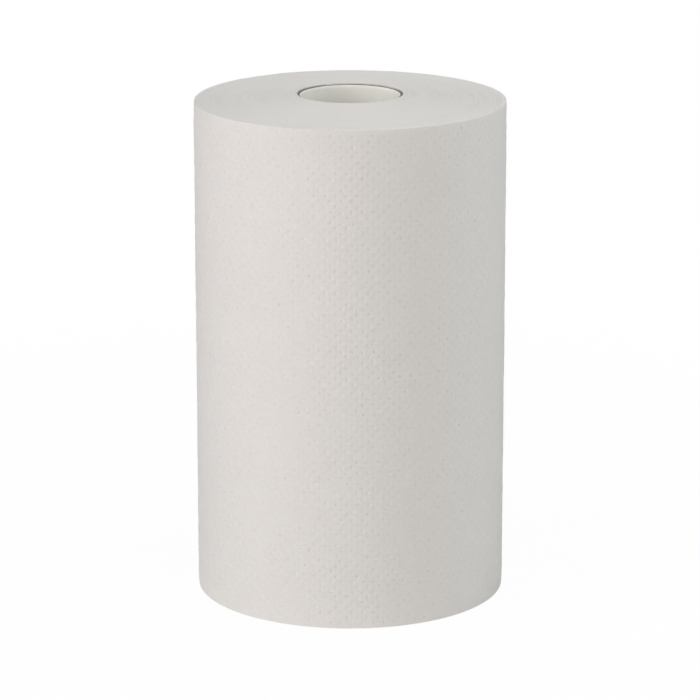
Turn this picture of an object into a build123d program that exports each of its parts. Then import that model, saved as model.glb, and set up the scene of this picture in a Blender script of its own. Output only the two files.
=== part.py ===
from build123d import *
import os

# A roll of white embossed paper towel that stands on its end, wound on a card tube.
# Lengths are in millimetres and angles in degrees. +Z is up, along the roll's axis.
# The origin is on that axis, in the plane that the roll stands on.

# The wound paper
sheet_width = 200.0  # along the axis, from one saw cut to the other
roll_diameter = 124.0  # measured across the tail, over the last turn
sheet_thickness = 0.4  # two embossed plies, pressed as they lie on the roll
tail_direction = 118.0  # where the sheet's free edge lies, from +X round towards +Y

# The turns have slid a little along the axis, each one lower than the turn inside it.
core_rise = 2.5  # how much higher the innermost turns stand than the outermost
stand_width = 9.0  # ring of outer turns that stay level, and that the roll stands on
turns_shown = 10  # turns of the stepped spiral on each end, each a bundle of real turns

# The card tube
core_bore = 40.0  # inside diameter, which goes over a holder's post or spindle
core_wall = 0.85  # plies of board glued together
core_recess = 0.4  # how far the tube's top edge lies below the innermost turns
winding_clearance = 0.05  # between the tube and the first turn

# How far a cutting shape runs past the face that it cuts
overrun = 1.0

# Worked out from the sizes above
roll_radius = roll_diameter / 2
tube_radius = core_bore / 2 + core_wall
eye_radius = tube_radius + winding_clearance  # the hole in the wound paper
steps = 2 * turns_shown  # one for each half turn of the stepped spiral
step_growth = (roll_radius - stand_width - eye_radius) / steps


def half_circle(radius, centre_x, side):
    """An arc of half a turn with its ends on the X axis, on the +Y side or the -Y side."""
    start = 0 if side > 0 else 180
    return CenterArc((centre_x, 0), radius, start_angle=start, arc_size=180)


def spiral_half(number, first_radius, growth):
    """One half turn of a spiral made of half circles.

    Even ones lie on the +Y side and odd ones on the -Y side. Each is larger than the one
    before by the growth, and their two centres are as far apart as that, so that each half
    turn ends where the next one begins, with no corner.
    """
    side = 1 if number % 2 == 0 else -1
    radius = first_radius + number * growth
    return half_circle(radius, -side * growth / 2, side)


def wound_outline():
    """The last turn seen along the axis: two half turns, and the step at the sheet's free edge."""
    growth = sheet_thickness / 2
    far_half = spiral_half(0, roll_radius - growth, growth)
    near_half = spiral_half(1, roll_radius - growth, growth)
    free_edge = Line(near_half @ 1, far_half @ 0)
    return make_face([far_half, near_half, free_edge])


def stepped_spiral():
    """The form by which the inner turns stand up from the outer ones.

    It is a spiral staircase of half discs, the smallest the highest. It reaches below its
    base plane by the overrun, so that it can be joined to one end and cut from the other.
    """
    stairs = None
    for number in range(steps):
        arc = spiral_half(number, eye_radius + step_growth, step_growth)
        plate = make_face([arc, Line(arc @ 1, arc @ 0)])
        height = core_rise * (steps - number) / steps
        stair = Pos(0, 0, -overrun) * extrude(plate, amount=height + overrun, dir=(0, 0, 1))
        stairs = stair if stairs is None else stairs + stair
    return stairs


def paper_roll():
    """All turns of the sheet as one solid, with the spiral of their edges on both ends."""
    blank = extrude(wound_outline(), amount=sheet_width, dir=(0, 0, 1))
    stairs = stepped_spiral()
    wound = blank + Pos(0, 0, sheet_width) * stairs - stairs
    eye_depth = sheet_width + core_rise + 2 * overrun
    eye = Cylinder(eye_radius, eye_depth, align=(Align.CENTER, Align.CENTER, Align.MIN))
    wound = wound - Pos(0, 0, -overrun) * eye
    return Rot(0, 0, tail_direction) * wound


def core_tube():
    """The card tube, sawn to the sheet's width and slid down a little from the inner turns."""
    foot = core_rise - core_recess
    stand = (Align.CENTER, Align.CENTER, Align.MIN)
    outside = Cylinder(tube_radius, sheet_width, align=stand)
    inside = Cylinder(core_bore / 2, sheet_width + 2 * overrun, align=stand)
    return Pos(0, 0, foot) * (outside - Pos(0, 0, -overrun) * inside)


def write(name, shape):
    """Writes one node, under the name of the piece."""
    shape.label = name
    export_step(shape, f"parts/{name}.step")


os.makedirs("parts", exist_ok=True)
write("paper_roll", paper_roll())
write("core_tube", core_tube())
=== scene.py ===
"""A roll of white embossed paper towel on its card tube, standing on its end.

The frame gives the roll's place and size: its axis is Z, and it stands on the plane z = 0. The wound
paper is made as two pieces, the last turn with its embossed dots and free edge, and all the turns
under it with their edges on both ends. The third piece is the spiral-wound card tube.
"""

import bpy
import numpy as np
from bpy.props import FloatProperty, FloatVectorProperty, IntProperty, PointerProperty
from bpy.types import Operator, Panel, PropertyGroup
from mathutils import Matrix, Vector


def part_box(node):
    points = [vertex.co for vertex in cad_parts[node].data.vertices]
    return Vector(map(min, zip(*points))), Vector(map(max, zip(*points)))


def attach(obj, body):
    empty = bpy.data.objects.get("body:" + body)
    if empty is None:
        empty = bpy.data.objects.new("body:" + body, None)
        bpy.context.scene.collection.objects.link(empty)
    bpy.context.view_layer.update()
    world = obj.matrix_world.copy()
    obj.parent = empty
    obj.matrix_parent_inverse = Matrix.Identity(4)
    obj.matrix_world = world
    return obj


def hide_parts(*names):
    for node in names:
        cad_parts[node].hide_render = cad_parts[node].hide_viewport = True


bl_info = {
    "name": "Paper towel roll",
    "version": (1, 0, 0),
    "blender": (4, 5, 0),
    "location": "View3D > Sidebar > Towel roll",
    "description": "Builds a roll of embossed paper towel on its card tube, with a plain studio",
    "category": "Add Mesh",
}

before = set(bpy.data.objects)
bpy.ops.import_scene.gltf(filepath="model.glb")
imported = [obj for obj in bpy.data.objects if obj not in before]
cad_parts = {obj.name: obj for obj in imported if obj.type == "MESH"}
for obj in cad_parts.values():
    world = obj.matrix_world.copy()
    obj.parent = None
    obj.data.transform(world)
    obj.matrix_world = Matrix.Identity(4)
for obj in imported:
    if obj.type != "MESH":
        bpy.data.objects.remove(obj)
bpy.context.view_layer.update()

MM = 0.001
FULL_TURN = 2 * np.pi
# A hair of room between the tube and the first turn, and between the floor and the sawn edge
CLEARANCE = 0.05 * MM
PAPER_LOW, PAPER_HIGH = (np.array(corner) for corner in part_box("paper_roll"))
TUBE_LOW, TUBE_HIGH = (np.array(corner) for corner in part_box("core_tube"))
PAPER_SPAN = PAPER_HIGH - PAPER_LOW
ROLL_RADIUS = float(PAPER_SPAN[0] + PAPER_SPAN[1]) / 4
TUBE_RADIUS = float(TUBE_HIGH[0] - TUBE_LOW[0]) / 2
SHEET_WIDTH = float(TUBE_HIGH[2] - TUBE_LOW[2])

# Slow waves, each row a sine's share, its waves in one turn, its climb with height and its phase.
# The first rows make the wound surface uneven, the next the free edge's lift, which swings about a
# mean share, and the last the tube's saw cut.
SURFACE_WAVES = ((0.5, 3, 4.1, 0.6), (0.3, 7, -9.0, 2.0), (0.2, 11, 17.0, 4.4))
FREE_EDGE_MEAN = 0.65
FREE_EDGE_WAVES = ((0.25, 0, 9.5, 0.8), (0.1, 0, 31.0, 0.0))
SAW_WAVES = ((1.0, 5, 0.0, 1.0), (0.7, 13, 0.0, 2.2), (0.5, 29, 0.0, 0.0))

# The lamps: azimuth and elevation in degrees, distance and width in metres, watts, and colour.
# Azimuth 0 is in front of the roll and 90 on its right.
LAMPS = (
    ("key_lamp", -62, 22, 1.3, 0.8, 8.23, (1.0, 0.959, 0.955)),
    ("front_lamp", 10, 22, 1.3, 0.8, 4.65, (1.0, 0.935, 0.88)),
    ("side_lamp", 90, 32, 0.6, 0.45, 1.154, (0.936, 0.972, 1.0)),
    ("top_lamp", 0, 88, 1.2, 0.8, 5.5, (0.988, 1.0, 0.975)),
    ("back_lamp", 180, 22, 1.3, 0.8, 4.0, (1.0, 1.0, 1.0)),
)


class TowelSheet(PropertyGroup):
    """The last turn of the sheet, with its embossed dots and its free edge."""

    roll_radius: FloatProperty(
        name="Roll radius",
        description="Mean radius of the last turn's outer face",
        default=ROLL_RADIUS,
        unit="LENGTH",
        precision=5,
    )
    sheet_width: FloatProperty(
        name="Sheet width",
        description="Width of the sheet along the roll's axis",
        default=SHEET_WIDTH,
        unit="LENGTH",
        precision=5,
    )
    thickness: FloatProperty(
        name="Thickness",
        description="Thickness of the two plies as they lie on the roll",
        default=0.4 * MM,
        unit="LENGTH",
        precision=5,
    )
    tail_direction: FloatProperty(
        name="Free edge",
        description="Where the free edge lies, from +X round towards +Y",
        default=float(np.radians(118)),
        subtype="ANGLE",
    )
    tail_reach: FloatProperty(
        name="Loose length",
        description="Length of the sheet that isn't stuck down, before the free edge",
        default=16 * MM,
        unit="LENGTH",
        precision=4,
    )
    tail_lift: FloatProperty(
        name="Edge lift",
        description="How far the free edge stands off the roll",
        default=0.7 * MM,
        unit="LENGTH",
        precision=5,
    )
    dot_spacing_round: FloatProperty(
        name="Dot spacing round",
        description="From one dot to the next in its row, round the roll",
        default=4.16 * MM,
        unit="LENGTH",
        precision=5,
    )
    dot_spacing_up: FloatProperty(
        name="Dot spacing up",
        description="From one dot to the next straight above it",
        default=4.255 * MM,
        unit="LENGTH",
        precision=5,
    )
    dot_radius: FloatProperty(
        name="Dot radius",
        description="Radius of an embossed dot at the paper's face",
        default=0.6 * MM,
        unit="LENGTH",
        precision=5,
    )
    dot_depth: FloatProperty(
        name="Dot depth",
        description="Mean depth of an embossed dot",
        default=0.28 * MM,
        unit="LENGTH",
        precision=5,
    )
    dot_variation: FloatProperty(
        name="Dot variation",
        description="How much the dots' depths differ, as a share of the depth",
        default=0.4,
        min=0,
        max=1,
        subtype="FACTOR",
    )
    dot_drift: FloatProperty(
        name="Dot drift",
        description="How far a dot may lie off its place, and its deepest point off its middle",
        default=0.23 * MM,
        unit="LENGTH",
        precision=5,
    )
    crumple: FloatProperty(
        name="Crumple",
        description="How far the sheet may stand up between the dots, differently at each place",
        default=0.24 * MM,
        unit="LENGTH",
        precision=5,
    )
    least_crumple: FloatProperty(
        name="Least crumple",
        description="The flattest place's stand between the dots, as a share of the highest one's",
        default=0.25,
        min=0,
        max=1,
        subtype="FACTOR",
    )
    rim_softness: FloatProperty(
        name="Rim softness",
        description="Rounding of the sheet's sawn edges",
        default=0.2 * MM,
        unit="LENGTH",
        precision=5,
    )
    sway: FloatProperty(
        name="Unevenness",
        description="How far the wound surface strays from a true roll",
        default=0.05 * MM,
        unit="LENGTH",
        precision=5,
    )
    still_margin: FloatProperty(
        name="Still margin",
        description="Width along each sawn edge in which the unevenness dies away",
        default=6 * MM,
        unit="LENGTH",
        precision=4,
    )


class WoundTurns(PropertyGroup):
    """The turns under the last one, with their edges on both ends."""

    core_rise: FloatProperty(
        name="Slide of the turns",
        description="How much higher the innermost turns stand than the outermost",
        default=float(PAPER_SPAN[2]) - SHEET_WIDTH,
        unit="LENGTH",
        precision=5,
    )
    level_width: FloatProperty(
        name="Level width",
        description="Width of the outer turns that stay level",
        default=9 * MM,
        unit="LENGTH",
        precision=4,
    )
    groove_depth: FloatProperty(
        name="Groove depth",
        description="Depth of the widest gap between one turn's edge and the next",
        default=0.2 * MM,
        unit="LENGTH",
        precision=5,
    )
    # The tightest gap's painted shade in the colour follows the same share
    closed_gap: FloatProperty(
        name="Closed gap",
        description="Depth and shade of the tightest gap, as a share of the widest one's",
        default=0.25,
        min=0,
        max=1,
        subtype="FACTOR",
    )
    turn_scatter: FloatProperty(
        name="Turn scatter",
        description="How unevenly the saw and the winding leave the turns' edges",
        default=0.035 * MM,
        unit="LENGTH",
        precision=5,
    )
    scatter_step: FloatProperty(
        name="Scatter step",
        description="How much of a turn lies between one change of the edges' unevenness and the next",
        default=0.21,
        min=0.05,
    )
    segments: IntProperty(
        name="Segments",
        description="Straight stretches in one turn",
        default=144,
        min=24,
    )


class CardTube(PropertyGroup):
    """The spiral-wound card tube."""

    wall: FloatProperty(
        name="Wall",
        description="Thickness of the card",
        default=0.85 * MM,
        unit="LENGTH",
        precision=5,
    )
    seam_pitch: FloatProperty(
        name="Seam pitch",
        description="How far the liner's spiral seam climbs in one turn",
        default=103 * MM,
        unit="LENGTH",
        precision=4,
    )
    seam_direction: FloatProperty(
        name="Seam direction",
        description="Where the seam leaves the tube's foot, from +X round towards +Y",
        default=float(np.radians(206)),
        subtype="ANGLE",
    )
    seam_width: FloatProperty(
        name="Seam width",
        description="Gap between the edges of the liner strip",
        default=0.5 * MM,
        unit="LENGTH",
        precision=5,
    )
    seam_depth: FloatProperty(
        name="Seam depth",
        description="Thickness of the liner strip",
        default=0.18 * MM,
        unit="LENGTH",
        precision=5,
    )
    edge_softness: FloatProperty(
        name="Edge softness",
        description="Rounding of the card's sawn edge",
        default=0.25 * MM,
        unit="LENGTH",
        precision=5,
    )
    ply_line: FloatProperty(
        name="Ply line",
        description="Half the width of the line between the plies on the cut edge",
        default=0.06 * MM,
        unit="LENGTH",
        precision=5,
    )
    edge_scatter: FloatProperty(
        name="Edge scatter",
        description="Unevenness of the card's sawn edge",
        default=0.04 * MM,
        unit="LENGTH",
        precision=5,
    )
    segments: IntProperty(
        name="Segments",
        description="Straight stretches round the tube, not counting those beside the seam",
        default=88,
        min=24,
    )
    rows: IntProperty(
        name="Rows",
        description="Rows of points up each face of the card",
        default=150,
        min=24,
    )


class RollFinish(PropertyGroup):
    """Colours of the paper and the card, as linear values, and the height of their bump."""

    paper: FloatVectorProperty(
        name="Paper",
        description="Colour of the tissue",
        default=(0.80, 0.79, 0.775),
        subtype="COLOR",
        size=3,
    )
    paper_shade: FloatVectorProperty(
        name="Paper shade",
        description="Colour of the tissue between its fibres",
        default=(0.775, 0.763, 0.745),
        subtype="COLOR",
        size=3,
    )
    # Painted shade: a darker colour laid into the gaps between the turns' edges, where shade falls
    painted_gap_shade: FloatVectorProperty(
        name="Gap shade",
        description="Colour of the shaded gaps between the turns' edges",
        default=(0.5, 0.48, 0.46),
        subtype="COLOR",
        size=3,
    )
    liner: FloatVectorProperty(
        name="Tube liner",
        description="Colour of the card tube's inside",
        default=(0.93, 0.93, 0.885),
        subtype="COLOR",
        size=3,
    )
    card_edge: FloatVectorProperty(
        name="Card edge",
        description="Colour of the card where it is cut",
        default=(0.20, 0.175, 0.14),
        subtype="COLOR",
        size=3,
    )
    fibre_height: FloatProperty(
        name="Fibre height",
        description="Height of the tissue's fibres",
        default=0.012 * MM,
        unit="LENGTH",
        precision=6,
    )
    wrinkle_height: FloatProperty(
        name="Wrinkle height",
        description="Height of the tissue's fine wrinkles",
        default=0.084 * MM,
        unit="LENGTH",
        precision=6,
    )


class RollStage(PropertyGroup):
    """The camera, the lamps and the floor."""

    camera_distance: FloatProperty(
        name="Camera distance",
        description="From the roll's axis to the camera, along the floor",
        default=1418 * MM,
        unit="LENGTH",
    )
    camera_height: FloatProperty(
        name="Camera height",
        description="Height of the camera above the floor",
        default=477.8 * MM,
        unit="LENGTH",
    )
    camera_pitch: FloatProperty(
        name="Camera pitch",
        description="How far the camera looks down",
        default=float(np.radians(15.03)),
        subtype="ANGLE",
    )
    lens: FloatProperty(
        name="Lens",
        description="Focal length on a 36 mm sensor, in millimetres",
        default=187.13,
        unit="CAMERA",
    )
    sky_light: FloatProperty(
        name="Room light",
        description="Strength of the even light from all round",
        default=0.03,
        min=0,
    )
    floor_size: FloatProperty(
        name="Floor size",
        description="Length of the floor's sides",
        default=12.0,
        unit="LENGTH",
    )
    floor_colour: FloatVectorProperty(
        name="Floor colour",
        description="Colour of the floor under its white",
        default=(0.9, 0.9, 0.9),
        subtype="COLOR",
        size=3,
    )
    floor_white: FloatProperty(
        name="Floor white",
        description="Share of plain white in what the camera sees of the floor beside the roll",
        default=0.965,
        min=0,
        max=1,
        subtype="FACTOR",
    )
    white_from: FloatProperty(
        name="White from",
        description="Distance from the roll's axis at which the floor begins to turn wholly white",
        default=0.15,
        unit="LENGTH",
    )
    white_at: FloatProperty(
        name="White at",
        description="Distance from the roll's axis at which the floor is wholly white",
        default=0.6,
        unit="LENGTH",
    )
    floor_glow: FloatProperty(
        name="Floor glow",
        description="How bright the light that the floor sends up beside the roll is",
        default=0.36,
        min=0,
        max=1,
        subtype="FACTOR",
    )
    glow_middle: FloatVectorProperty(
        name="Glow's middle",
        description="Middle of the floor's glow, towards the key lamp from the roll's axis",
        default=(-10 * MM, -5 * MM, 0),
        subtype="TRANSLATION",
        unit="LENGTH",
        size=3,
    )
    glow_reach: FloatProperty(
        name="Glow's reach",
        description="How far beyond the roll's radius the floor's glow dies away",
        default=24 * MM,
        unit="LENGTH",
        precision=4,
    )
    glow_inset: FloatProperty(
        name="Glow's inset",
        description="How far inside the roll's radius the floor's glow is full",
        default=6 * MM,
        unit="LENGTH",
        precision=4,
    )


class Shade:
    """A number, colour or vector of a node tree. Python's operators on it add Math nodes."""

    def __init__(self, tree, socket):
        self.tree = tree
        self.socket = socket

    def maths(self, operation, *values):
        """A Math node that works on the values."""
        return self.tree.node("ShaderNodeMath", {"operation": operation}, *values)

    def __add__(self, other):
        return self.maths("ADD", self, other)

    def __radd__(self, other):
        return self.maths("ADD", other, self)

    def __sub__(self, other):
        return self.maths("SUBTRACT", self, other)

    def __rsub__(self, other):
        return self.maths("SUBTRACT", other, self)

    def __mul__(self, other):
        return self.maths("MULTIPLY", self, other)

    def __rmul__(self, other):
        return self.maths("MULTIPLY", other, self)

    def or_more(self, other):
        """The greater of the two values."""
        return self.maths("MAXIMUM", self, other)


class ShadeTree:
    """The node tree of a material or the world, emptied, with one way to add any node."""

    def __init__(self, owner):
        owner.use_nodes = True
        self.tree = owner.node_tree
        self.tree.nodes.clear()

    def node(self, kind, settings=None, *values, output=0, **named):
        """Adds a node. Its settings are set first, then its inputs in order or by name."""
        node = self.tree.nodes.new(kind)
        for name, value in (settings or {}).items():
            setattr(node, name, value)
        inputs = list(enumerate(values))
        inputs += [(name.replace("_", " "), value) for name, value in named.items()]
        for key, value in inputs:
            if isinstance(value, Shade):
                self.tree.links.new(value.socket, node.inputs[key])
            else:
                node.inputs[key].default_value = value
        return Shade(self, node.outputs[output]) if node.outputs else node

    def ramp(self, value, low, high):
        """A smooth step of value, 0 at low and 1 at high."""
        settings = {"interpolation_type": "SMOOTHSTEP"}
        return self.node("ShaderNodeMapRange", settings, value, low, high, 0.0, 1.0)

    def mix_colour(self, share, first, second):
        """first where share is 0, and second where it is 1."""
        mixed = self.node("ShaderNodeMix", {"data_type": "RGBA"}, output=2)
        inputs = mixed.socket.node.inputs
        for place, value in ((0, share), (6, first), (7, second)):
            if isinstance(value, Shade):
                self.tree.links.new(value.socket, inputs[place])
            else:
                inputs[place].default_value = value
        return mixed


def opaque(colour):
    """A colour property as the four values that a socket takes."""
    return (*colour, 1.0)


def noise(tree, place, size, detail=2.0, roughness=0.5):
    """Noise whose lumps are about size across, in metres."""
    return tree.node(
        "ShaderNodeTexNoise",
        {"noise_dimensions": "3D"},
        Vector=place,
        Scale=1 / size,
        Detail=detail,
        Roughness=roughness,
    )


def finish_material(tree, shader):
    """Ends a material's tree."""
    tree.node("ShaderNodeOutputMaterial", None, shader)


def tissue_material(name, finish, gaps=False):
    """Matt tissue: fibres, pulp and wrinkles as bump, and a faint cloudiness in the colour.

    The wrinkles are about three times as long round the roll as they are high. With gaps, it also
    paints shade into the colour where the mesh's turn_gap values say that one turn parts from the next.
    """
    material = bpy.data.materials.new(name)
    tree = ShadeTree(material)
    place = tree.node("ShaderNodeTexCoord", output=3)
    settings = {"operation": "MULTIPLY"}
    stretched = tree.node("ShaderNodeVectorMath", settings, place, (0.35, 0.35, 1.0))
    fibres = noise(tree, place, size=0.45 * MM, detail=3.0, roughness=0.6)
    pulp = noise(tree, place, size=1.6 * MM)
    cloud = noise(tree, place, size=30 * MM)
    wrinkles = noise(tree, stretched, size=1.9 * MM)
    share = tree.ramp(0.5 * fibres + 0.3 * pulp + 0.2 * cloud, 0.62, 0.36)
    colour = tree.mix_colour(share, opaque(finish.paper), opaque(finish.paper_shade))
    # Painted shade: the colour turns towards the gap shade in the gaps between the turns' edges
    if gaps:
        gap = tree.node("ShaderNodeAttribute", {"attribute_name": "turn_gap"}, output=2)
        colour = tree.mix_colour(gap, colour, opaque(finish.painted_gap_shade))
    wrinkle_share = finish.wrinkle_height / finish.fibre_height
    bump = tree.node(
        "ShaderNodeBump",
        None,
        Strength=1.0,
        Distance=finish.fibre_height,
        Height=0.65 * fibres + 0.35 * pulp + wrinkle_share * wrinkles,
    )
    shader = tree.node(
        "ShaderNodeBsdfPrincipled",
        None,
        Base_Color=colour,
        Roughness=0.92 + 0.06 * fibres,
        Specular_IOR_Level=0.0,
        Normal=bump,
    )
    finish_material(tree, shader)
    return material


def card_material(name, colour, darker, bump_height):
    """Uncoated card: mottled pulp, with flecks whose colour is the card's times darker."""
    material = bpy.data.materials.new(name)
    tree = ShadeTree(material)
    place = tree.node("ShaderNodeTexCoord", output=3)
    fibres = noise(tree, place, size=0.5 * MM, detail=4.0, roughness=0.65)
    patches = noise(tree, place, size=7 * MM, detail=3.0)
    share = tree.ramp(0.6 * fibres + 0.4 * patches, 0.66, 0.38)
    shade = tree.mix_colour(share, opaque(colour), opaque(np.array(colour) * darker))
    bump = tree.node("ShaderNodeBump", None, Strength=1.0, Distance=bump_height, Height=fibres)
    shader = tree.node(
        "ShaderNodeBsdfPrincipled",
        None,
        Base_Color=shade,
        Roughness=0.85 + 0.1 * patches,
        Specular_IOR_Level=0.25,
        Normal=bump,
    )
    finish_material(tree, shader)
    return material


def new_piece(name, points, faces, materials, face_slots=None, crisp=None):
    """A smooth mesh object at the origin from an array of points and arrays of corner numbers.

    Edges that join two crisp points stay sharp.
    """
    mesh = bpy.data.meshes.new(name)
    corners = np.concatenate([group.ravel() for group in faces])
    sizes = np.concatenate([np.full(len(group), group.shape[1]) for group in faces])
    starts = np.concatenate([[0], np.cumsum(sizes)[:-1]])
    mesh.vertices.add(len(points))
    mesh.vertices.foreach_set("co", points.astype(np.float32).ravel())
    mesh.loops.add(len(corners))
    mesh.loops.foreach_set("vertex_index", corners.astype(np.int32))
    mesh.polygons.add(len(sizes))
    mesh.polygons.foreach_set("loop_start", starts.astype(np.int32))
    mesh.polygons.foreach_set("use_smooth", np.ones(len(sizes), bool))
    for material in materials:
        mesh.materials.append(material)
    if face_slots is not None:
        mesh.polygons.foreach_set("material_index", face_slots.astype(np.int32))
    mesh.update(calc_edges=True)
    if mesh.validate():
        raise RuntimeError(f"{name} has a faulty face")
    if crisp is not None:
        ends = np.empty(2 * len(mesh.edges), np.int32)
        mesh.edges.foreach_get("vertices", ends)
        mesh.edges.foreach_set("use_edge_sharp", crisp[ends.reshape(-1, 2)].all(1))
    piece = bpy.data.objects.new(name, mesh)
    bpy.context.scene.collection.objects.link(piece)
    return piece


def on_roll(angle, radius, height):
    """Points from angles about Z, distances from Z and heights, as one array."""
    angle, radius, height = np.broadcast_arrays(angle, radius, height)
    return np.stack([radius * np.cos(angle), radius * np.sin(angle), height], -1)


def waves(rows, turn, high):
    """The sum of share * sin(count * turn + climb * high + phase) over the rows."""
    return sum(
        share * np.sin(count * turn + climb * high + phase) for share, count, climb, phase in rows
    )


def strip_faces(first, second):
    """Quads between two rows of corner numbers, facing to the left of the way from first to second."""
    return np.stack([first[:-1], second[:-1], second[1:], first[1:]], -1)


def dot_faces(centre, ring, east, north, west, south):
    """Triangles of embossed dots, all at once.

    Each dot is a fan from its centre to its ring of eight corners, and the ring is joined to the four
    flat corners of the dot's tile: two triangles at each tile corner, and one between each two.
    """
    tile = (east, north, west, south)
    groups = [[centre, ring[..., i], ring[..., (i + 1) % 8]] for i in range(8)]
    for side in range(4):
        here, corner, following = 2 * side, tile[side], tile[(side + 1) % 4]
        before, at, after = ring[..., here - 1], ring[..., here], ring[..., here + 1]
        groups += [[at, corner, after], [before, corner, at]]
        groups.append([after, corner, following])
    return np.concatenate([np.stack(group, -1).reshape(-1, 3) for group in groups])


class PointStore:
    """Collects arrays of points and gives each point its number in the mesh."""

    def __init__(self):
        self.arrays = []
        self.count = 0

    def add(self, points):
        """Numbers of the points, in the shape of the array without its last axis."""
        shape = points.shape[:-1]
        numbers = self.count + np.arange(int(np.prod(shape))).reshape(shape)
        self.arrays.append(points.reshape(-1, 3))
        self.count = self.count + numbers.size
        return numbers

    def all(self):
        """All the points as one array."""
        return np.concatenate(self.arrays)


def outer_turn(sheet):
    """The last turn as a closed sheet of its own thickness.

    The outer face is a spiral, mean radius plus thickness times the share of the turn, with slow
    waves of a few sines. Dots lie in rows that are staggered by half a spacing. Each dot's tile is
    eight ring corners round a centre pushed in, and its four flat corners stand out by a random part
    of the crumple. Each dot drifts a little off its place, and its centre off its middle. The sawn
    edges are quarter rounds, the inner face is plain, and the sheet lifts with the square of the way
    along its loose end.
    """
    soft, thick = sheet.rim_softness, sheet.thickness
    length = FULL_TURN * sheet.roll_radius
    across = round(length / sheet.dot_spacing_round)
    rows = 2 * round((sheet.sheet_width - 2 * soft) / sheet.dot_spacing_up)
    step_round = length / across
    step_up = (sheet.sheet_width - 2 * soft) / rows
    chance = np.random.default_rng(7)

    def place(column, row, inward=0.0, height=None):
        """Points by column and row of the dot pattern, pushed inward from the outer face."""
        column, row, inward = np.broadcast_arrays(column, row, inward)
        along = column * step_round
        up = soft + row * step_up if height is None else height
        share = along / length
        turn = FULL_TURN * share
        high = up / sheet.sheet_width
        to_edge = np.minimum(up, sheet.sheet_width - up)
        sway = np.clip(to_edge / sheet.still_margin, 0, 1) * sheet.sway
        loose = np.clip((along - length + sheet.tail_reach) / sheet.tail_reach, 0, 1)
        stand_off = FREE_EDGE_MEAN + waves(FREE_EDGE_WAVES, turn, high)
        lift = sheet.tail_lift * loose**2 * stand_off
        radius = sheet.roll_radius + thick * (share - 0.5) - inward
        radius = radius + sway * waves(SURFACE_WAVES, turn, high) + lift
        return on_roll(sheet.tail_direction + turn, radius, up)

    def stand(shape, inner):
        """How far a grid of flat tile corners stands out: at random in its inner part, and 0 round it."""
        height = np.zeros(shape)
        height[inner] = sheet.crumple * chance.uniform(sheet.least_crumple, 1, height[inner].shape)
        return height

    store = PointStore()
    columns = np.arange(across + 1)
    between = columns[:-1] + 0.5
    even_columns = np.concatenate([[0], between, [across]])
    even_rows = np.arange(0, rows + 1, 2)[:, None]
    odd_rows = np.arange(1, rows, 2)[:, None]
    even_stand = stand((len(even_rows), len(even_columns)), np.s_[1:-1, 1:-1])
    odd_stand = stand((len(odd_rows), len(columns)), np.s_[:, 1:-1])
    even = store.add(place(even_columns, even_rows, -even_stand))
    odd = store.add(place(columns, odd_rows, -odd_stand))

    eighths = np.arange(8) * FULL_TURN / 8
    ring_round = sheet.dot_radius / step_round * np.cos(eighths)
    ring_up = sheet.dot_radius / step_up * np.sin(eighths)
    crisp = []

    def dots(dot_columns, dot_rows, tile):
        """Centres and rings of one family of dots, and their faces in the tiles."""
        shape = np.broadcast(dot_columns, dot_rows).shape
        scatter = chance.uniform(-1, 1, shape) * sheet.dot_variation
        depth = sheet.dot_depth * (1 + scatter)
        drift = sheet.dot_drift * chance.uniform(-1, 1, (4, *shape))
        dot_columns = dot_columns + drift[0] / step_round
        dot_rows = dot_rows + drift[1] / step_up
        centre_column = dot_columns + drift[2] / step_round
        centre_row = dot_rows + drift[3] / step_up
        centre = store.add(place(centre_column, centre_row, depth))
        around = dot_columns[..., None] + ring_round
        upward = dot_rows[..., None] + ring_up
        ring = store.add(place(around, upward))
        crisp.append(ring.ravel())
        return dot_faces(centre, ring, *tile)

    odd_tile = (odd[:, 1:], even[1:, 1:-1], odd[:, :-1], even[:-1, 1:-1])
    even_tile = (even[1:-1, 2:-1], odd[1:, 1:-1], even[1:-1, 1:-2], odd[:-1, 1:-1])
    below, row, above = odd[:-1], even[1:-1], odd[1:]
    faces = [
        dots(between[None, :], odd_rows, odd_tile),
        dots(columns[None, 1:-1], even_rows[1:-1], even_tile),
        np.stack([even[0, :-1], even[0, 1:], odd[0]], -1),
        np.stack([even[-1, 1:], even[-1, :-1], odd[-1]], -1),
        np.stack([below[:, 0], row[:, 1], row[:, 0]], -1),
        np.stack([row[:, 0], row[:, 1], above[:, 0]], -1),
        np.stack([row[:, -2], row[:, -1], above[:, -1]], -1),
        np.stack([below[:, -1], row[:, -1], row[:, -2]], -1),
    ]

    bend = np.radians([30, 60, 90])
    inner_rows = soft + np.arange(2, rows, 2) * step_up
    edge_in = np.concatenate([soft * (1 - np.cos(bend)), [thick - soft / 2, thick]])
    edge_up = np.concatenate([soft * (1 - np.sin(bend)), [0, soft / 2]])
    inward = np.concatenate([edge_in, np.full(len(inner_rows), thick), edge_in[::-1]])
    heights = np.concatenate([edge_up, inner_rows, sheet.sheet_width - edge_up[::-1]])
    back = store.add(place(even_columns[None, :], 0, inward[:, None], height=heights[:, None]))
    rings = np.concatenate([even[:1], back, even[-1:]])
    faces.append(np.concatenate([strip_faces(a, b) for a, b in zip(rings[:-1], rings[1:])]))

    def end_loop(column):
        """The outline of the sheet's section at its first or last column."""
        front = np.empty(rows + 1, int)
        front[0::2], front[1::2] = even[:, column], odd[:, column]
        return np.concatenate([front, back[::-1, column]])[None, :]

    faces += [end_loop(0), end_loop(-1)[:, ::-1]]
    on_rim = np.zeros(store.count, bool)
    on_rim[np.concatenate(crisp)] = True
    return store.all(), faces, on_rim


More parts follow.
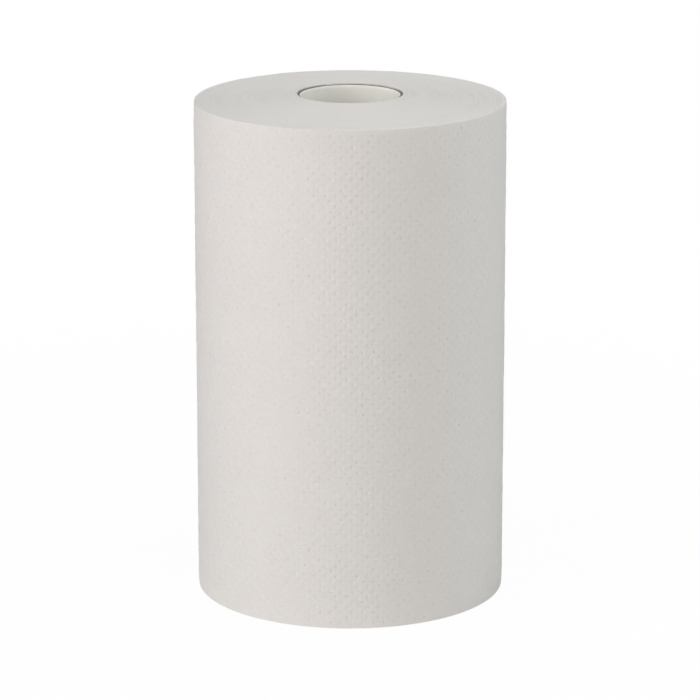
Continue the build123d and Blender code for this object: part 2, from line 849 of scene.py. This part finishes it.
def wound_turns(sheet, turns):
    """All the turns under the last one, as one closed solid, and how far each of its points is a gap.

    Each end is a true spiral: the radius grows by one pitch in each turn, and three lines of points
    run along it, one in the groove between turns and two at a turn's shoulders, so that after a full
    turn each line goes on as the next turn's. Heights fall from the middle to the level outer turns
    and wander a little along the winding. The groove is deep where the turns part and shallow where
    they lie close, by the cube of a random number, so that few gaps are wide.
    """
    eye = TUBE_RADIUS + CLEARANCE
    # The last turn begins half a sheet inside its mean radius, and is one sheet thick
    start = sheet.roll_radius - 1.5 * sheet.thickness
    count = round((start - eye) / sheet.thickness)
    pitch = (start - eye) / count
    segments = turns.segments
    # The groove and the two shoulders of a turn, as shares of the pitch
    lines_share = np.array([0.0, 0.24, 0.76])
    ring = np.arange(3 * count + 1)
    column = np.arange(segments + 1)
    wound = (ring // 3)[:, None] + column[None, :] / segments
    radius = eye + pitch * (wound + lines_share[ring % 3][:, None])
    angle = sheet.tail_direction + FULL_TURN * column[None, :] / segments

    chance = np.random.default_rng(11)
    stations = np.arange(0, count + 2, turns.scatter_step)
    level_from = start - turns.level_width
    rise = turns.core_rise * np.clip((level_from - radius) / (level_from - eye), 0, 1)
    in_groove = np.where(ring % 3 == 0, 1.0, 0.0)[:, None]

    def end_shape():
        """How far the turns' edges stand out of one end before they slide, and how open the gaps are."""
        wander = np.interp(wound, stations, chance.normal(0, 1, len(stations)))
        loose = np.interp(wound, stations, chance.uniform(0, 1, len(stations)) ** 3)
        # The same gap values set both the groove's depth and the painted shade in the wound tissue's
        # colour
        gap = in_groove * (turns.closed_gap + (1 - turns.closed_gap) * loose)
        return turns.turn_scatter * np.minimum(wander - 1, 0) - turns.groove_depth * gap, gap

    store = PointStore()
    gaps = []

    def end_points(heights, gap):
        """Numbers of one end's points by ring and column, the last column being the next turn's."""
        points = on_roll(angle, radius, heights)
        numbers = store.add(points[:, :segments])
        last = store.add(points[-3:, segments])
        gaps.extend([gap[:, :segments].ravel(), gap[-3:, segments]])
        return np.column_stack([numbers, np.concatenate([numbers[3:, 0], last])])

    stand, gap = end_shape()
    top = end_points(sheet.sheet_width + rise + stand, gap)
    stand, gap = end_shape()
    low = end_points(rise - stand, gap)
    quads = [strip_faces(a, b) for a, b in zip(top[:-1], top[1:])]
    quads += [strip_faces(b, a) for a, b in zip(low[:-1], low[1:])]
    quads += [strip_faces(top[-1], low[-1]), strip_faces(low[0], top[0])]
    outer_step = np.concatenate([[low[-1, 0], top[-1, 0]], top[-3:, -1], low[:-4:-1, -1]])
    inner_step = np.concatenate([low[:4, 0], top[3::-1, 0]])
    faces = [np.concatenate(quads), outer_step[None, :], inner_step[None, :]]
    return store.all(), faces, np.concatenate(gaps)


def card_tube(tube):
    """The tube as one closed wall whose columns of points follow the liner's spiral seam.

    A point's angle is its column's plus the seam's at the foot, plus one full turn for each seam
    pitch of height. The liner's inner face sinks by its thickness within half a seam width of the
    seam. The sawn edges are softened and wander with three sines, and a fine line parts the two
    plies.
    """
    inner, outer = TUBE_RADIUS - tube.wall, TUBE_RADIUS
    low, high = float(TUBE_LOW[2]), float(TUBE_HIGH[2])
    # In seam widths: the liner's face falls between 0.45 and 0.55 of them from the seam's middle
    beside_seam = np.array([-2.4, -1.1, -0.55, -0.45, 0.45, 0.55, 1.1, 2.4]) * tube.seam_width
    away_from_seam = np.linspace(0, FULL_TURN, tube.segments, endpoint=False)[2:-1]
    column = np.sort(np.concatenate([beside_seam / inner, away_from_seam]))
    in_seam = np.abs(column) * inner < tube.seam_width / 2
    seam = np.where(in_seam, tube.seam_depth, 0.0)

    soft = tube.edge_softness
    line = tube.ply_line
    middle = (inner + outer) / 2
    walls = np.linspace(low + soft, high - soft, tube.rows)
    edge_radius = np.array([inner + soft, middle - line, middle, middle + line, outer - soft])
    edge_sink = np.array([0, 0, 2 * line, 0, 0])
    liner_face, outer_face = np.full(tube.rows, inner), np.full(tube.rows, outer)
    radius = np.concatenate([liner_face, edge_radius, outer_face, edge_radius[::-1]])
    height = np.concatenate([walls, high - edge_sink, walls[::-1], low + edge_sink[::-1]])
    on_liner = np.arange(len(radius)) < tube.rows
    sawn = np.isin(radius, edge_radius)
    climbed = (height[:, None] - low) / tube.seam_pitch
    angle = column[None, :] + tube.seam_direction + FULL_TURN * climbed
    bite = tube.edge_scatter * (2 - waves(SAW_WAVES, angle, 0.0))
    into_card = np.where(height > (low + high) / 2, -1.0, 1.0)
    points = on_roll(
        angle,
        radius[:, None] + np.where(on_liner[:, None], seam[None, :], 0.0),
        height[:, None] + np.where(sawn, into_card, 0.0)[:, None] * bite,
    )
    numbers = np.arange(points.shape[0] * points.shape[1]).reshape(points.shape[:2])
    closed = np.column_stack([numbers, numbers[:, 0]])
    closed = np.vstack([closed, closed[:1]])
    faces = [strip_faces(a, b) for a, b in zip(closed[:-1], closed[1:])]
    cut = sawn | np.roll(sawn, -1)
    slots = np.repeat(cut.astype(int), len(column))
    return points.reshape(-1, 3), [np.concatenate(faces)], slots


class TOWEL_OT_last_turn(Operator):
    """Add the last turn of the sheet, with its embossed dots and free edge"""

    bl_idname = "towel.last_turn"
    bl_label = "Last turn"

    def execute(self, context):
        points, faces, dot_rims = outer_turn(context.scene.towel_sheet)
        tissue = tissue_material("embossed_tissue", context.scene.roll_finish)
        piece = new_piece("last_turn", points, faces, [tissue], crisp=dot_rims)
        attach(piece, "root")
        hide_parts("paper_roll")
        return {"FINISHED"}


class TOWEL_OT_wound_turns(Operator):
    """Add the turns under the last one, with their edges on both ends"""

    bl_idname = "towel.wound_turns"
    bl_label = "Wound turns"

    def execute(self, context):
        scene = context.scene
        points, faces, gaps = wound_turns(scene.towel_sheet, scene.wound_turns)
        tissue = tissue_material("wound_tissue", scene.roll_finish, gaps=True)
        piece = new_piece("wound_turns", points, faces, [tissue])
        # The gap values also set the painted shade in the wound tissue's colour
        gap_values = piece.data.attributes.new("turn_gap", "FLOAT", "POINT")
        gap_values.data.foreach_set("value", gaps.astype(np.float32))
        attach(piece, "root")
        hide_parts("paper_roll")
        return {"FINISHED"}


class TOWEL_OT_card_tube(Operator):
    """Add the card tube with its spiral seam and sawn edges"""

    bl_idname = "towel.card_tube"
    bl_label = "Card tube"

    def execute(self, context):
        scene = context.scene
        finish = scene.roll_finish
        liner = card_material("tube_liner", finish.liner, darker=0.96, bump_height=0.02 * MM)
        cut = card_material("cut_card", finish.card_edge, darker=0.6, bump_height=0.08 * MM)
        points, faces, slots = card_tube(scene.card_tube)
        piece = new_piece("card_tube", points, faces, [liner, cut], slots)
        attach(piece, "root")
        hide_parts("core_tube")
        return {"FINISHED"}


def seen_directly(tree):
    """1 for light that goes straight, by a mirror or through a pane to the camera, and 0 for the rest."""
    straight, mirrored, through = (
        tree.node("ShaderNodeLightPath", output=number) for number in (0, 3, 6)
    )
    return straight.or_more(mirrored).or_more(through)


def add_floor(stage):
    """A white floor that keeps the roll's shadow, and glows a little beside the roll.

    The camera sees it nearly white. Only the paper sees the glow, as the light that a pale table
    throws back on it.
    """
    half = stage.floor_size / 2
    square = ((-half, -half), (half, -half), (half, half), (-half, half))
    corners = [(x, y, -CLEARANCE) for x, y in square]
    mesh = bpy.data.meshes.new("floor")
    mesh.from_pydata(corners, [], [(0, 1, 2, 3)])
    material = bpy.data.materials.new("white_floor")
    tree = ShadeTree(material)
    place = tree.node("ShaderNodeTexCoord", output=3)
    from_axis = tree.node("ShaderNodeVectorMath", {"operation": "LENGTH"}, place, output=1)
    far = tree.ramp(from_axis, stage.white_from, stage.white_at)
    settings = {"operation": "DISTANCE"}
    from_middle = tree.node("ShaderNodeVectorMath", settings, place, stage.glow_middle, output=1)
    full, gone = ROLL_RADIUS - stage.glow_inset, ROLL_RADIUS + stage.glow_reach
    beside = tree.ramp(from_middle, gone, full)
    seen = seen_directly(tree)
    plain = stage.floor_white + (1 - stage.floor_white) * far
    share = seen * plain + (1 - seen) * (stage.floor_glow * beside)
    white = tree.node("ShaderNodeEmission", None, (1, 1, 1, 1), 1.0)
    matt = tree.node("ShaderNodeBsdfDiffuse", None, opaque(stage.floor_colour))
    shader = tree.node("ShaderNodeMixShader", None, share, matt, white)
    finish_material(tree, shader)
    mesh.materials.append(material)
    floor = bpy.data.objects.new("floor", mesh)
    bpy.context.scene.collection.objects.link(floor)


def add_room(strength):
    """Even light from all round, and plain white where the camera looks past the floor."""
    world = bpy.data.worlds.new("room")
    tree = ShadeTree(world)
    seen = seen_directly(tree)
    light = seen + (1 - seen) * strength
    shader = tree.node("ShaderNodeBackground", None, (1, 1, 1, 1), light)
    tree.node("ShaderNodeOutputWorld", None, shader)
    bpy.context.scene.world = world


def add_lamp(name, azimuth, elevation, distance, size, power, colour, target):
    """A square soft lamp aimed at the roll. Azimuth 0 is in front of it and 90 on its right."""
    turn, lift = np.radians(azimuth), np.radians(elevation)
    away = np.array([np.sin(turn) * np.cos(lift), -np.cos(turn) * np.cos(lift), np.sin(lift)])
    data = bpy.data.lights.new(name, "AREA")
    data.shape = "SQUARE"
    data.size = size
    data.energy = power
    data.color = colour
    lamp = bpy.data.objects.new(name, data)
    lamp.location = target + distance * away
    lamp.rotation_euler = (np.pi / 2 - lift, 0, turn)
    bpy.context.scene.collection.objects.link(lamp)


def add_camera(stage):
    """The photograph's view: from the front and a little above, looking down."""
    data = bpy.data.cameras.new("camera")
    data.lens = stage.lens
    data.sensor_width = 36
    data.clip_start = 0.05
    data.clip_end = 50
    camera = bpy.data.objects.new("camera", data)
    camera.location = (0, -stage.camera_distance, stage.camera_height)
    camera.rotation_euler = (np.pi / 2 - stage.camera_pitch, 0, 0)
    bpy.context.scene.collection.objects.link(camera)
    bpy.context.scene.camera = camera


class TOWEL_OT_stage(Operator):
    """Add the floor, the room's light, the soft lamps and the camera"""

    bl_idname = "towel.stage"
    bl_label = "Stage"

    def execute(self, context):
        stage = context.scene.roll_stage
        add_floor(stage)
        add_room(stage.sky_light)
        target = np.array([0, 0, context.scene.towel_sheet.sheet_width / 2])
        for lamp in LAMPS:
            add_lamp(*lamp, target)
        add_camera(stage)
        context.scene.view_settings.view_transform = "Standard"
        return {"FINISHED"}


class TOWEL_PT_panel(Panel):
    """Lists the roll's pieces and their sizes."""

    bl_idname = "TOWEL_PT_panel"
    bl_label = "Towel roll"
    bl_space_type = "VIEW_3D"
    bl_region_type = "UI"
    bl_category = "Towel roll"

    def draw(self, context):
        layout = self.layout
        for group, operators in GROUPS:
            box = layout.box()
            for operator in operators:
                box.operator(operator)
            settings = getattr(context.scene, group)
            for name in settings.__annotations__:
                box.prop(settings, name)


GROUPS = (
    ("towel_sheet", ("towel.last_turn",)),
    ("wound_turns", ("towel.wound_turns",)),
    ("card_tube", ("towel.card_tube",)),
    ("roll_finish", ()),
    ("roll_stage", ("towel.stage",)),
)
SETTINGS = (TowelSheet, WoundTurns, CardTube, RollFinish, RollStage)
CLASSES = SETTINGS + (
    TOWEL_OT_last_turn,
    TOWEL_OT_wound_turns,
    TOWEL_OT_card_tube,
    TOWEL_OT_stage,
    TOWEL_PT_panel,
)


def register():
    """Registers the classes and hangs the settings on the scene."""
    for kind in CLASSES:
        bpy.utils.register_class(kind)
    for (name, _), kind in zip(GROUPS, SETTINGS):
        setattr(bpy.types.Scene, name, PointerProperty(type=kind))


def unregister():
    """Takes the settings and the classes away again."""
    for name, _ in GROUPS:
        delattr(bpy.types.Scene, name)
    for kind in reversed(CLASSES):
        bpy.utils.unregister_class(kind)


def main():
    """Builds the roll and its stage."""
    register()
    bpy.ops.towel.last_turn()
    bpy.ops.towel.wound_turns()
    bpy.ops.towel.card_tube()
    bpy.ops.towel.stage()
    bpy.context.view_layer.update()


if __name__ == "__main__":
    main()
